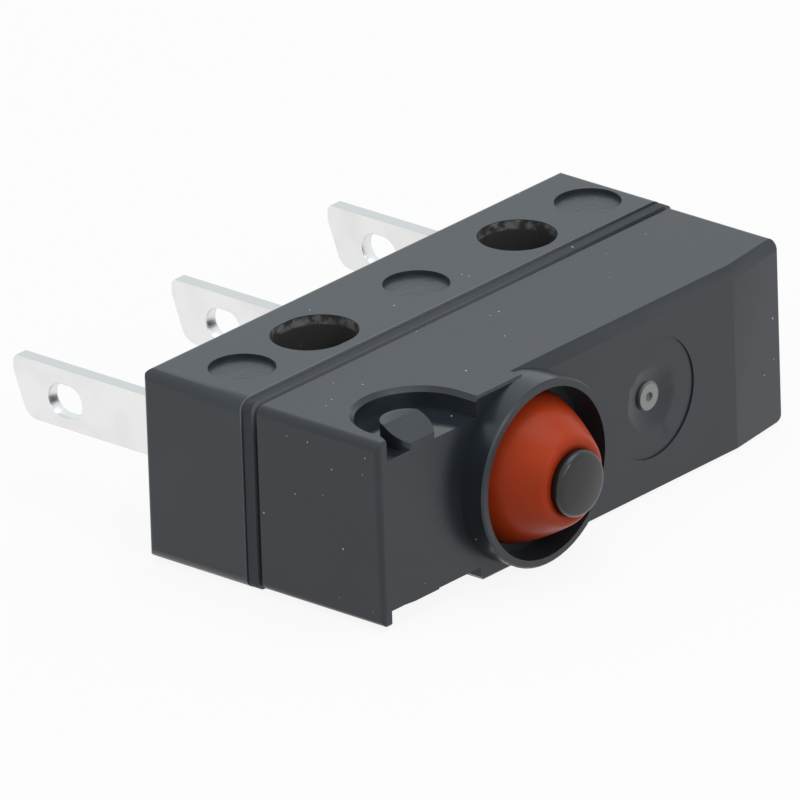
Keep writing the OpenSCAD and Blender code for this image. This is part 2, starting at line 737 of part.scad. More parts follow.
// Wire of the spring as [point, side direction] pairs, from the lever's hook to the contact arm
function spring_path() = let (
    y = -spring_axis_forward,
    start = hook_x - lever_thickness - wire_d,
    coil_start = hook_x + lever_thickness,
    coil_end = window_right - lever_thickness,
    steps = coil_turns * turn_steps,
    tuck = turn_steps / 2)
  concat(
    [[[start, y, z_mid], [0, 0, 1]], [[hook_x, y, z_mid], [0, 0, 1]]],
    [for (i = [0:steps]) let (
        a = 90 + 360 * i / turn_steps,
        r = coil_r * min(1, min(i, steps - i) / tuck))
      [[coil_start + (coil_end - coil_start) * i / steps, y + r * cos(a), z_mid + r * sin(a)],
        [0, cos(a), sin(a)]]],
    [[[spring_end_x - wire_d, y, z_mid], [0, 0, 1]], [[spring_end_x, y + wire_d, z_mid], [0, 0, 1]],
      [[spring_end_x, -arm_back_forward, z_mid], [0, 0, 1]]]);

// Tube of wire along such a path
module wire(path) {
  last = len(path) - 1;
  points = [for (i = [0:last]) let (
      ahead = path[min(i + 1, last)][0] - path[max(i - 1, 0)][0],
      t = ahead / norm(ahead),
      side = path[i][1] - (path[i][1] * t) * t,
      u = side / norm(side),
      v = cross(t, u))
    for (k = [0:wire_sides - 1]) let (a = 360 * k / wire_sides)
      path[i][0] + wire_d / 2 * (cos(a) * u + sin(a) * v)];
  walls = [for (i = [0:last - 1], k = [0:wire_sides - 1]) let (
      a = i * wire_sides + k,
      b = i * wire_sides + (k + 1) % wire_sides)
    [a, a + wire_sides, b + wire_sides, b]];
  first_cap = [[for (k = [0:wire_sides - 1]) k]];
  last_cap = [[for (k = [wire_sides - 1:-1:0]) last * wire_sides + k]];
  polyhedron(points, concat(walls, first_cap, last_cap));
}

module snap_spring() {
  color([0.6, 0.6, 0.6]) wire(spring_path());
}

base();
cover();
sealing_boot();
plunger_pin();
common_terminal();
normally_open_terminal();
normally_closed_terminal();
normally_open_contact();
normally_closed_contact();
moving_contact();
contact_arm();
actuating_lever();
snap_spring();
terminal_potting();
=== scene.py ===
"""Looks of a sealed pin plunger micro switch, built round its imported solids."""

import math

import bmesh
import bpy
from bpy.props import FloatProperty, FloatVectorProperty, IntProperty, PointerProperty
from mathutils import Matrix, Vector


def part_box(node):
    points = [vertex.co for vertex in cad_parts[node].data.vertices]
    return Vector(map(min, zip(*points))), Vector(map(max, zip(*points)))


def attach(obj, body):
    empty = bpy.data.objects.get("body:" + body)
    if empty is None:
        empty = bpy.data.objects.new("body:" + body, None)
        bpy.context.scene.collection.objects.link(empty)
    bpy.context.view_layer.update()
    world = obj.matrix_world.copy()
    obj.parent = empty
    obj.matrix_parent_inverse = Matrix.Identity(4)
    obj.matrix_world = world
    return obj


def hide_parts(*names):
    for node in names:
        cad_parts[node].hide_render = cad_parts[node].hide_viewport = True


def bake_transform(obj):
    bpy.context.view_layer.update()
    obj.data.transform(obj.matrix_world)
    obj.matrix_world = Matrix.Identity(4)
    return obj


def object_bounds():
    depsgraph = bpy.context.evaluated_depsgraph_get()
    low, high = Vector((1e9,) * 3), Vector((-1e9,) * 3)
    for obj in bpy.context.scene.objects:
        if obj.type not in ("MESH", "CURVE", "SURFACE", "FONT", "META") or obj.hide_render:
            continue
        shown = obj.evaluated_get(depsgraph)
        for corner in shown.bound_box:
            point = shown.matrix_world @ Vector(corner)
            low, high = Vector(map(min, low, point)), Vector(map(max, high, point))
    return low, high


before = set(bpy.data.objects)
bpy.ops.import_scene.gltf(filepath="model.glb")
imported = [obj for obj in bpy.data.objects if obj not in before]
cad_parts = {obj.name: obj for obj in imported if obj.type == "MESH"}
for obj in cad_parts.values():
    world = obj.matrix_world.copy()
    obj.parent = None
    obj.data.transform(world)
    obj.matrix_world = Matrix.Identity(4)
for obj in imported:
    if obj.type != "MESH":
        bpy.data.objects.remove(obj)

bl_info = {
    "name": "Pin Plunger Micro Switch",
    "version": (1, 0, 0),
    "blender": (4, 5, 0),
    "location": "View3D > Sidebar > Micro Switch",
    "description": "Dresses the solids of a sealed snap-action switch and sets up its stage",
    "category": "Object",
}

CAD_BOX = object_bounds()
MM = 0.001

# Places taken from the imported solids
PIN_LOW, PIN_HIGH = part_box("plunger_pin")
BOOT_LOW, BOOT_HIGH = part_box("sealing_boot")
BASE_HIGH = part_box("base")[1]
COVER_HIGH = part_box("cover")[1]
TAB_LOW, TAB_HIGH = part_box("common_terminal")
AXIS_X = (PIN_LOW.x + PIN_HIGH.x) / 2
AXIS_Z = (PIN_LOW.z + PIN_HIGH.z) / 2
PIN_TOP = -PIN_LOW.y
BOOT_FLOOR = -BOOT_HIGH.y
BOOT_LIP = -BOOT_LOW.y

# Steps along the curves of the turned pieces, and the ball that rounds the pin's nose
DOME_STEPS = 24
INNER_DOME_STEPS = 16
ROUND_STEPS = 8
CROWN_STEPS = 10
NOSE_STEPS = 6
NOSE_BALL = 1.0 * MM

# Copies of the solids: which points merge, which faces join, and which edges show or are softened
MERGE_REACH = 1e-7
FLAT_ANGLE = math.radians(0.4)
BROAD_EDGE_ANGLE = math.radians(2.0)
EDGE_ANGLE = math.radians(28.0)
SOFT_EDGE_ANGLE = math.radians(38.0)
SOFT_EDGE_STEPS = 2
FLAT_FACE_WEIGHT = 100

# How far the housing's masks reach past the edges of what they cover, and how soft they end
HOLE_MARGIN = 0.025 * MM
HOLE_BLUR = 0.005 * MM
RECESS_MARGIN = 0.05 * MM
RECESS_BLUR = 0.02 * MM
NUB_MARGIN = 0.08 * MM
NUB_BLUR = 0.06 * MM
PIT_BLUR = 0.08 * MM
GAP_MARGIN = 0.02 * MM
FLOOR_REACH = 0.004 * MM

# How far the housing's masks stay clear of the faces beside what they cover
MOUTH_CLEARANCE = 0.03 * MM
STRIP_CLEARANCE = 0.005 * MM

# Least dust and painted light in the seam, far down and at the far end, and the share of a hole's rim that
# is fully given its scuffing and painted light
DEEP_DUST_AND_LIGHT = 0.4
FAR_DUST_AND_LIGHT = 0.3
RIM_FULL_SHARE = 0.8

# Factors on a colour
# Painted shade in the gate nub's pit
PAINTED_PIT_SHADE = 0.6
SHEARED_SHADE = 0.77

# Roughness: shifts on the housing, shares that the grain has in it, and the least that metal has
RECESS_POLISH = -0.27
STRIP_DULLNESS = 0.32
BLOTCH_SHARE = 0.12
SPECKLE_SHARE = 0.08
LINE_SHARE = 0.2
SMOOTHEST_METAL = 0.24

# Factors on coordinates: lines that rolling or drawing leaves along an axis, and a plan view
ALONG_X = (0.04, 1.0, 1.0)
ALONG_Y = (1.0, 0.04, 1.0)
NO_STRETCH = (1.0, 1.0, 1.0)
NO_HEIGHT = (1.0, 1.0, 0.0)

# Places of the colour sockets on a Mix node
MIX_FIRST, MIX_SECOND, MIX_RESULT = 6, 7, 2

# Stage: the soft boxes' places from the camera's target, their sides in metres and their colours
SOFT_BOXES = {
    "overhead": ((0.04, -0.04, 0.3), 0.25, (0.86, 0.94, 1.0)),
    "side": ((-0.14, -0.3, 0.22), 0.16, (1.0, 0.98, 0.95)),
    "front": ((-0.023, -0.277, 0.212), 0.04, (1.0, 1.0, 1.0)),
}
FLOOR_HALF = 0.6
FLOOR_DROP = 0.01 * MM
FLOOR_GLOW = 0.9
CLIP_START, CLIP_END = 0.01, 10.0
WHITE = (1.0, 1.0, 1.0, 1.0)


class SwitchSizes(bpy.types.PropertyGroup):
    """Sizes of the pieces that are modelled here"""

    broad_face: FloatProperty(
        name="Broad Face",
        description="Area in square millimetres from which a face of the housing keeps its edges crisp",
        default=1.5, min=0.0)
    tab_softness: FloatProperty(
        name="Tab Edge Softness",
        description="Width of the soft edge on the stamped tabs",
        default=0.03 * MM, min=0.0, unit="LENGTH", precision=6)
    boot_radius: FloatProperty(
        name="Boot Radius",
        description="Radius of the boot's wall just above its foot",
        default=2.42 * MM, unit="LENGTH", precision=6)
    boot_lip_radius: FloatProperty(
        name="Boot Lip Radius",
        description="Outer radius of the lip round the pin's neck",
        default=1.53 * MM, unit="LENGTH", precision=6)
    boot_lip_round: FloatProperty(
        name="Boot Lip Rounding",
        description="Rounding of the lip's outer edge",
        default=0.3 * MM, unit="LENGTH", precision=6)
    boot_bulge: FloatProperty(
        name="Boot Bulge",
        description="How far the wall is drawn outwards between foot and lip",
        default=0.15 * MM, unit="LENGTH", precision=6)
    boot_bore_radius: FloatProperty(
        name="Boot Bore Radius",
        description="Radius of the hole in the lip",
        default=0.95 * MM, unit="LENGTH", precision=6)
    boot_wall: FloatProperty(
        name="Boot Wall",
        description="Thickness of the boot's wall",
        default=0.34 * MM, unit="LENGTH", precision=6)
    boot_foot_height: FloatProperty(
        name="Boot Foot Height",
        description="Thickness of the flange that the boot stands on",
        default=0.35 * MM, unit="LENGTH", precision=6)
    boot_skirt: FloatProperty(
        name="Boot Skirt",
        description="Straight stretch of wall between the flange and the dome",
        default=0.3 * MM, unit="LENGTH", precision=6)
    head_radius: FloatProperty(
        name="Pin Head Radius",
        description="Radius of the head that is pressed",
        default=1.06 * MM, unit="LENGTH", precision=6)
    head_length: FloatProperty(
        name="Pin Head Length",
        description="Length of the head from its crown to the boot's lip",
        default=0.46 * MM, unit="LENGTH", precision=6)
    head_crown: FloatProperty(
        name="Pin Crown",
        description="Rise of the crowned face over its edge",
        default=0.08 * MM, unit="LENGTH", precision=6)
    head_edge: FloatProperty(
        name="Pin Edge Radius",
        description="Rounding of the head's edge",
        default=0.2 * MM, unit="LENGTH", precision=6)
    neck_radius: FloatProperty(
        name="Pin Neck Radius",
        description="Radius of the neck that the boot grips",
        default=0.93 * MM, unit="LENGTH", precision=6)
    neck_length: FloatProperty(
        name="Pin Neck Length",
        description="Length of the neck",
        default=0.44 * MM, unit="LENGTH", precision=6)
    shaft_radius: FloatProperty(
        name="Pin Shaft Radius",
        description="Radius of the shaft in its guide",
        default=1.0 * MM, unit="LENGTH", precision=6)
    foot_height: FloatProperty(
        name="Pin Foot Height",
        description="Thickness of the foot that keeps the pin in, and length of its nose",
        default=0.45 * MM, unit="LENGTH", precision=6)
    nose_radius: FloatProperty(
        name="Pin Nose Radius",
        description="Radius of the nose that presses the lever",
        default=0.6 * MM, unit="LENGTH", precision=6)
    disc_depth: FloatProperty(
        name="Disc Depth",
        description="Depth of the round recesses in the base's upper face",
        default=0.15 * MM, unit="LENGTH", precision=6)
    hole_spacing: FloatProperty(
        name="Hole Spacing",
        description="Distance between the mounting holes",
        default=9.5 * MM, unit="LENGTH", precision=6)
    slot_extra: FloatProperty(
        name="Slot Extra",
        description="How much longer than wide the long mounting hole is",
        default=0.4 * MM, unit="LENGTH", precision=6)
    hole_radius: FloatProperty(
        name="Hole Radius",
        description="Radius of the mounting holes",
        default=1.25 * MM, unit="LENGTH", precision=6)
    # The rim's colour is partly mottled scuffing and partly painted light on the upper band of the wall
    hole_rim: FloatProperty(
        name="Hole Rim",
        description="Depth of the scuffed rim in the mouth of a hole",
        default=0.36 * MM, unit="LENGTH", precision=6)
    seam_back: FloatProperty(
        name="Seam Back",
        description="Mounting hole line forward to the gap behind the strip in the seam",
        default=1.65 * MM, unit="LENGTH", precision=6)
    strip_back: FloatProperty(
        name="Strip Back",
        description="Mounting hole line forward to the back of the strip in the seam",
        default=1.71 * MM, unit="LENGTH", precision=6)
    strip_front: FloatProperty(
        name="Strip Front",
        description="Mounting hole line forward to the front of the strip in the seam",
        default=2.07 * MM, unit="LENGTH", precision=6)
    seam_front: FloatProperty(
        name="Seam Front",
        description="Mounting hole line forward to the front of the groove before the strip",
        default=2.22 * MM, unit="LENGTH", precision=6)
    cover_drop: FloatProperty(
        name="Cover Drop",
        description="How far the cover's upper face lies below the strip in the seam",
        default=0.05 * MM, unit="LENGTH", precision=6)
    # Sets the depth from which the seam's dust and painted light are thinnest
    dust_and_light_depth: FloatProperty(
        name="Dust Depth",
        description="Depth below the base's upper face from which the dust in the seam is thinnest",
        default=1.2 * MM, unit="LENGTH", precision=6)
    recess_place: FloatVectorProperty(
        name="Recess Place",
        description="Middle of the lever recess, from the mounting holes' midpoint",
        subtype="XYZ", unit="LENGTH", size=3, precision=6, default=(-7.35 * MM, -6.35 * MM, 0.0))
    recess_radius: FloatProperty(
        name="Recess Radius",
        description="Radius of the lever recess",
        default=1.9 * MM, unit="LENGTH", precision=6)
    recess_depth: FloatProperty(
        name="Recess Depth",
        description="Depth of the lever recess in the cover's upper face",
        default=0.66 * MM, unit="LENGTH", precision=6)
    gate_from_end: FloatProperty(
        name="Gate From End",
        description="Gate mark from the far end of the cover",
        default=6.5 * MM, unit="LENGTH", precision=6)
    gate_forward: FloatProperty(
        name="Gate Forward",
        description="Mounting hole line forward to the top of the gate nub",
        default=6.62 * MM, unit="LENGTH", precision=6)
    gate_nub_radius: FloatProperty(
        name="Gate Nub Radius",
        description="Radius of the pale nub that the gate left",
        default=0.42 * MM, unit="LENGTH", precision=6)
    # The pit is painted darker than the cover, as painted shade
    gate_pit_radius: FloatProperty(
        name="Gate Pit Radius",
        description="Radius of the dark pit in the nub",
        default=0.15 * MM, unit="LENGTH", precision=6)
    turn_steps: IntProperty(
        name="Turn Steps",
        description="Steps round the turned pieces",
        default=96, min=24, max=192)


class SwitchFinish(bpy.types.PropertyGroup):
    """Colours of the finishes"""

    base_color: FloatVectorProperty(
        name="Base", description="Dark grey moulded plastic of the base",
        subtype="COLOR", size=3, min=0.0, max=1.0, default=(0.027, 0.034, 0.043))
    cover_color: FloatVectorProperty(
        name="Cover", description="Dark grey moulded plastic of the cover",
        subtype="COLOR", size=3, min=0.0, max=1.0, default=(0.0175, 0.023, 0.0315))
    boot_color: FloatVectorProperty(
        name="Boot", description="Orange-red silicone rubber",
        subtype="COLOR", size=3, min=0.0, max=1.0, default=(0.465, 0.048, 0.011))
    pin_color: FloatVectorProperty(
        name="Pin", description="Black moulded plastic",
        subtype="COLOR", size=3, min=0.0, max=1.0, default=(0.015, 0.0155, 0.0165))
    tab_color: FloatVectorProperty(
        name="Tabs", description="Silvered strip",
        subtype="COLOR", size=3, min=0.0, max=1.0, default=(0.87, 0.87, 0.86))
    contact_color: FloatVectorProperty(
        name="Contacts", description="Contact silver",
        subtype="COLOR", size=3, min=0.0, max=1.0, default=(0.84, 0.84, 0.82))
    blade_color: FloatVectorProperty(
        name="Blade", description="Rolled bronze of the contact arm",
        subtype="COLOR", size=3, min=0.0, max=1.0, default=(0.68, 0.44, 0.22))
    steel_color: FloatVectorProperty(
        name="Steel", description="Steel of the lever and the spring",
        subtype="COLOR", size=3, min=0.0, max=1.0, default=(0.5, 0.5, 0.5))
    resin_color: FloatVectorProperty(
        name="Resin", description="Sealing resin round the tabs",
        subtype="COLOR", size=3, min=0.0, max=1.0, default=(0.018, 0.018, 0.02))
    dust_color: FloatVectorProperty(
        name="Dust", description="Pale specks on the housing and the pin",
        subtype="COLOR", size=3, min=0.0, max=1.0, default=(0.6, 0.6, 0.6))
    boot_dust_color: FloatVectorProperty(
        name="Boot Dust", description="Pale specks on the boot",
        subtype="COLOR", size=3, min=0.0, max=1.0, default=(0.75, 0.55, 0.45))
    # Hole mouths: partly mottled scuffing, partly painted light on the upper band of the walls
    mouth_scuff_and_light_color: FloatVectorProperty(
        name="Scuff", description="Rough plastic at the mouths of the mounting holes",
        subtype="COLOR", size=3, min=0.0, max=1.0, default=(0.26, 0.26, 0.26))
    # The holes' walls take this colour, lighter than the plastic round them
    hole_color: FloatVectorProperty(
        name="Hole", description="Dull plastic inside the mounting holes",
        subtype="COLOR", size=3, min=0.0, max=1.0, default=(0.06, 0.06, 0.058))
    # Seam colour, partly dust and partly painted light that lifts the shade in the gaps
    seam_dust_and_light_color: FloatVectorProperty(
        name="Seam", description="Plastic with dust on it in the seam of the upper face",
        subtype="COLOR", size=3, min=0.0, max=1.0, default=(0.22, 0.225, 0.23))
    gate_color: FloatVectorProperty(
        name="Gate Nub", description="Pale broken plastic at the gate",
        subtype="COLOR", size=3, min=0.0, max=1.0, default=(0.34, 0.34, 0.34))


class SwitchStage(bpy.types.PropertyGroup):
    """Camera, light and floor"""

    azimuth: FloatProperty(
        name="Azimuth", description="Turn of the camera round the switch",
        subtype="ANGLE", default=math.radians(-48.369))
    elevation: FloatProperty(
        name="Elevation", description="Height of the camera over the horizon",
        subtype="ANGLE", default=math.radians(23.253))
    roll: FloatProperty(
        name="Roll", description="Turn of the camera about its own axis",
        subtype="ANGLE", default=math.radians(-1.934))
    distance: FloatProperty(
        name="Distance", description="Camera to the middle of the picture",
        unit="LENGTH", default=0.68004)
    target: FloatVectorProperty(
        name="Target", description="Point in the middle of the picture",
        subtype="XYZ", unit="LENGTH", size=3, precision=6,
        default=(-0.56524 * MM, 0.32536 * MM, 2.52048 * MM))
    lens: FloatProperty(
        name="Lens", description="Focal length on a sensor 36 mm wide",
        default=997.28, min=1.0)
    ambient: FloatProperty(
        name="Ambient", description="Strength of the light from all round",
        default=0.49, min=0.0)
    overhead_power: FloatProperty(
        name="Overhead", description="Power of the soft box over the switch",
        subtype="POWER", default=0.34, min=0.0)
    side_power: FloatProperty(
        name="Side", description="Power of the soft box beside the camera",
        subtype="POWER", default=0.1, min=0.0)
    front_power: FloatProperty(
        name="Front", description="Power of the small lamp before the plunger",
        subtype="POWER", default=0.08, min=0.0)
    sheen_color: FloatVectorProperty(
        name="Sheen", description="Tint of the sky that shows in glossy faces",
        subtype="COLOR", size=3, min=0.0, max=1.0, default=(0.91, 0.965, 0.985))
    floor_color: FloatVectorProperty(
        name="Floor", description="Pale floor",
        subtype="COLOR", size=3, min=0.0, max=1.0, default=(0.93, 0.93, 0.93))
    bounce_color: FloatVectorProperty(
        name="Bounce", description="Share of the light that the floor throws back on the switch",
        subtype="COLOR", size=3, min=0.0, max=1.0, default=(0.5, 0.5, 0.5))


# Shader building

def join(tree, source, target):
    """Links an output socket to an input socket, or sets the input where a plain value is given."""
    if isinstance(source, bpy.types.NodeSocket):
        tree.links.new(source, target)
    else:
        target.default_value = source


def put(tree, kind, inputs=None, **settings):
    """Adds a node, with settings by attribute and with sockets or values for its inputs."""
    made = tree.nodes.new(kind)
    for key, value in settings.items():
        setattr(made, key, value)
    for key, value in (inputs or {}).items():
        join(tree, value, made.inputs[key])
    return made


def math_node(tree, operation, *operands, clamp=False):
    """Adds a Math node on sockets or numbers and returns its output."""
    made = put(tree, "ShaderNodeMath", dict(enumerate(operands)), operation=operation, use_clamp=clamp)
    return made.outputs[0]


def vector_node(tree, operation, first, second):
    """Adds a Vector Math node on sockets or vectors."""
    return put(tree, "ShaderNodeVectorMath", {0: first, 1: second}, operation=operation)


def ramp_between(tree, value, low, high, to_low=0.0, to_high=1.0):
    """Maps a value smoothly from one span to another and returns the output."""
    spans = {"Value": value, "From Min": low, "From Max": high, "To Min": to_low, "To Max": to_high}
    return put(tree, "ShaderNodeMapRange", spans, interpolation_type="SMOOTHSTEP").outputs["Result"]


def noise(tree, place, scale, detail, roughness, distortion=0.0):
    """Adds a Noise texture and returns its value."""
    made = put(tree, "ShaderNodeTexNoise", {
        "Vector": place, "Scale": scale, "Detail": detail, "Roughness": roughness, "Distortion": distortion})
    return made.outputs["Fac"]


def separate_axes(tree, place):
    """Takes coordinates apart and returns the outputs X, Y and Z."""
    return put(tree, "ShaderNodeSeparateXYZ", {"Vector": place}).outputs


def mix_colors(tree, mask, first, second):
    """Mixes two colours, each a socket or a value, by a mask and returns the output."""
    made = put(tree, "ShaderNodeMix", {"Factor": mask}, data_type="RGBA")
    for slot, color in ((MIX_FIRST, first), (MIX_SECOND, second)):
        plain = not isinstance(color, bpy.types.NodeSocket)
        join(tree, (*color, 1.0) if plain else color, made.inputs[slot])
    return made.outputs[MIX_RESULT]


def mix_shaders(tree, share, first, second):
    """Mixes two shader nodes by a socket or a number and returns the mixing node."""
    return put(tree, "ShaderNodeMixShader", {"Fac": share, 1: first.outputs[0], 2: second.outputs[0]})


def start_group(name, inputs, outputs):
    """Starts a node group on coordinates, with defaults for its inputs and names for its outputs.
    Returns it with the sockets that it is given and the sockets that it makes."""
    group = bpy.data.node_groups.new(name, "ShaderNodeTree")
    for label, default in {"Vector": (0.0, 0.0, 0.0), **inputs}.items():
        kind = "NodeSocketFloat" if isinstance(default, float) else "NodeSocketVector"
        socket = group.interface.new_socket(label, in_out="INPUT", socket_type=kind)
        socket.default_value = default
    for label in outputs:
        group.interface.new_socket(label, in_out="OUTPUT", socket_type="NodeSocketFloat")
    return group, group.nodes.new("NodeGroupInput").outputs, group.nodes.new("NodeGroupOutput").inputs


def moulded_grain_group(name):
    """Fine moulded grain with broad flow marks."""
    group, given, made = start_group(
        name, {"Grain Scale": 9000.0, "Flow Scale": 320.0, "Smoothest": 0.22},
        ("Height", "Tone", "Roughness"))
    grain = noise(group, given["Vector"], given["Grain Scale"], detail=3.0, roughness=0.6)
    flow = noise(group, given["Vector"], given["Flow Scale"], detail=2.0, roughness=0.5, distortion=0.6)
    blotched = math_node(group, "MULTIPLY_ADD", flow, BLOTCH_SHARE, given["Smoothest"])
    join(group, grain, made["Height"])
    join(group, ramp_between(group, flow, low=0.3, high=0.7), made["Tone"])
    join(group, math_node(group, "MULTIPLY_ADD", grain, SPECKLE_SHARE, blotched), made["Roughness"])
    return group


def rolled_grain_group(name):
    """Lines that rolling leaves along a metal strip, with faint stains."""
    group, given, made = start_group(
        name, {"Stretch": ALONG_Y, "Line Scale": 14000.0, "Stain Scale": 700.0},
        ("Height", "Stain", "Roughness"))
    stretched = vector_node(group, "MULTIPLY", given["Vector"], given["Stretch"])
    lines = noise(group, stretched.outputs["Vector"], given["Line Scale"], detail=4.0, roughness=0.65)
    stains = noise(group, given["Vector"], given["Stain Scale"], detail=4.0, roughness=0.55, distortion=0.4)
    join(group, lines, made["Height"])
    join(group, ramp_between(group, stains, low=0.35, high=0.75), made["Stain"])
    join(group, math_node(group, "MULTIPLY_ADD", lines, LINE_SHARE, SMOOTHEST_METAL), made["Roughness"])
    return group


def dust_group(name):
    """Scattered specks: few of the cells of a cell pattern hold one."""
    group, given, made = start_group(name, {"Scale": 900.0, "Share": 0.12, "Size": 0.05}, ("Mask",))
    cells = put(group, "ShaderNodeTexVoronoi", {
        "Vector": given["Vector"], "Scale": given["Scale"], "Randomness": 1.0}, feature="F1")
    chance = put(group, "ShaderNodeSeparateColor", {"Color": cells.outputs["Color"]})
    chosen = math_node(group, "LESS_THAN", chance.outputs["Red"], given["Share"])
    reach = math_node(group, "MULTIPLY", chance.outputs["Green"], given["Size"])
    inside = math_node(group, "LESS_THAN", cells.outputs["Distance"], reach)
    join(group, math_node(group, "MULTIPLY", chosen, inside), made["Mask"])
    return group


def spot_group(name):
    """A soft-edged ball round a place."""
    group, given, made = start_group(
        name, {"Place": (0.0, 0.0, 0.0), "Radius": 0.4 * MM, "Blur": 0.05 * MM}, ("Mask",))
    away = vector_node(group, "DISTANCE", given["Vector"], given["Place"])
    inside = math_node(group, "SUBTRACT", given["Radius"], away.outputs["Value"])
    join(group, math_node(group, "DIVIDE", inside, given["Blur"], clamp=True), made["Mask"])
    return group


def level_group(name):
    """All that lies at one level."""
    group, given, made = start_group(name, {"Level": 0.0, "Reach": 0.02 * MM}, ("Mask",))
    height = separate_axes(group, given["Vector"])["Z"]
    off = math_node(group, "ABSOLUTE", math_node(group, "SUBTRACT", height, given["Level"]))
    join(group, math_node(group, "LESS_THAN", off, given["Reach"]), made["Mask"])
    return group


def band_group(name):
    """All that lies between two forward distances."""
    group, given, made = start_group(name, {"Back": 0.0, "Front": MM}, ("Mask",))
    forward = math_node(group, "MULTIPLY", separate_axes(group, given["Vector"])["Y"], -1.0)
    past_back = math_node(group, "GREATER_THAN", forward, given["Back"])
    before_front = math_node(group, "LESS_THAN", forward, given["Front"])
    join(group, math_node(group, "MULTIPLY", past_back, before_front), made["Mask"])
    return group


GROUP_BUILDERS = {
    "Moulded grain": moulded_grain_group,
    "Rolled grain": rolled_grain_group,
    "Dust specks": dust_group,
    "Spot": spot_group,
    "Level": level_group,
    "Band": band_group,
}


def use_group(tree, name, place, values=None):
    """Places a node group, which is built at its first use, on the given coordinates."""
    group = bpy.data.node_groups.get(name) or GROUP_BUILDERS[name](name)
    return put(tree, "ShaderNodeGroup", {"Vector": place, **(values or {})}, node_tree=group)


def mask_from(tree, name, place, values):
    """Places a node group that makes a mask and returns the mask."""
    return use_group(tree, name, place, values).outputs["Mask"]


def start_material(name):
    """Starts a material and returns it with its tree, Principled shader and Object coordinates."""
    material = bpy.data.materials.new(name)
    material.use_nodes = True
    tree = material.node_tree
    place = put(tree, "ShaderNodeTexCoord").outputs["Object"]
    return material, tree, tree.nodes["Principled BSDF"], place


def bump_from(tree, shader, height, strength, depth):
    """Feeds a height into the shader's normal."""
    bump = put(tree, "ShaderNodeBump", {"Height": height, "Strength": strength, "Distance": depth})
    join(tree, bump.outputs["Normal"], shader.inputs["Normal"])
    return bump


def shade(color, factor):
    """A colour made lighter or darker."""
    return tuple(min(1.0, channel * factor) for channel in color)


def toned(tree, grain, color, darkest, lightest):
    """A colour that the grain's tone makes darker and lighter from place to place."""
    return mix_colors(tree, grain.outputs["Tone"], shade(color, darkest), shade(color, lightest))


# Finishes

def gate_masks(tree, place, sizes):
    """Masks of the nub that the gate left and of the pit in it, where shade is painted."""
    gate = (COVER_HIGH.x - sizes.gate_from_end, -sizes.gate_forward, AXIS_Z)
    nub_radius = sizes.gate_nub_radius + NUB_MARGIN
    nub = mask_from(tree, "Spot", place, {"Place": gate, "Radius": nub_radius, "Blur": NUB_BLUR})
    pit = mask_from(tree, "Spot", place, {"Place": gate, "Radius": sizes.gate_pit_radius, "Blur": PIT_BLUR})
    return nub, pit


def seam_masks(tree, place, sizes):
    """Masks of the strip in the seam, and of the gap behind it and the groove before it together."""
    strip_end = sizes.strip_front - STRIP_CLEARANCE
    groove_end = sizes.seam_front - STRIP_CLEARANCE
    gap = mask_from(tree, "Band", place, {"Back": sizes.seam_back - GAP_MARGIN, "Front": sizes.strip_back})
    strip = mask_from(tree, "Band", place, {"Back": sizes.strip_back, "Front": strip_end})
    groove = mask_from(tree, "Band", place, {"Back": strip_end, "Front": groove_end})
    return strip, math_node(tree, "MAXIMUM", gap, groove)


def seam_dust_and_light(tree, axes, sizes):
    """How much dust and painted light lie in the seam: less further down, and less towards the far end."""
    upper = ramp_between(tree, axes["Z"], BASE_HIGH.z - sizes.dust_and_light_depth, BASE_HIGH.z, to_low=DEEP_DUST_AND_LIGHT)
    near = ramp_between(tree, axes["X"], 0.0, BASE_HIGH.x, to_low=1.0, to_high=FAR_DUST_AND_LIGHT)
    return math_node(tree, "MULTIPLY", upper, near)


def hole_masks(tree, plan, height, sizes):
    """Masks of the mounting holes' walls and of their mouths in the upper face."""
    half_spacing, half_extra = sizes.hole_spacing / 2, sizes.slot_extra / 2
    walls = 0.0
    for x in (half_spacing, half_extra - half_spacing, -half_extra - half_spacing):
        wall = mask_from(tree, "Spot", plan, {
            "Place": (x, 0.0, 0.0), "Radius": sizes.hole_radius + HOLE_MARGIN, "Blur": HOLE_BLUR})
        walls = math_node(tree, "MAXIMUM", walls, wall)
    below = math_node(tree, "LESS_THAN", height, BASE_HIGH.z - MOUTH_CLEARANCE)
    walls = math_node(tree, "MULTIPLY", walls, below)
    rim_full = RIM_FULL_SHARE * sizes.hole_rim
    near = ramp_between(tree, height, BASE_HIGH.z - sizes.hole_rim, BASE_HIGH.z - rim_full)
    return walls, math_node(tree, "MULTIPLY", walls, near)


def recess_mask(tree, place, plan, sizes):
    """Mask of the lever recess's floor."""
    floor_level = COVER_HIGH.z - sizes.cover_drop - sizes.recess_depth
    level = mask_from(tree, "Level", place, {"Level": floor_level, "Reach": FLOOR_REACH})
    outline = mask_from(tree, "Spot", plan, {
        "Place": sizes.recess_place, "Radius": sizes.recess_radius + RECESS_MARGIN, "Blur": RECESS_BLUR})
    return math_node(tree, "MULTIPLY", level, outline)


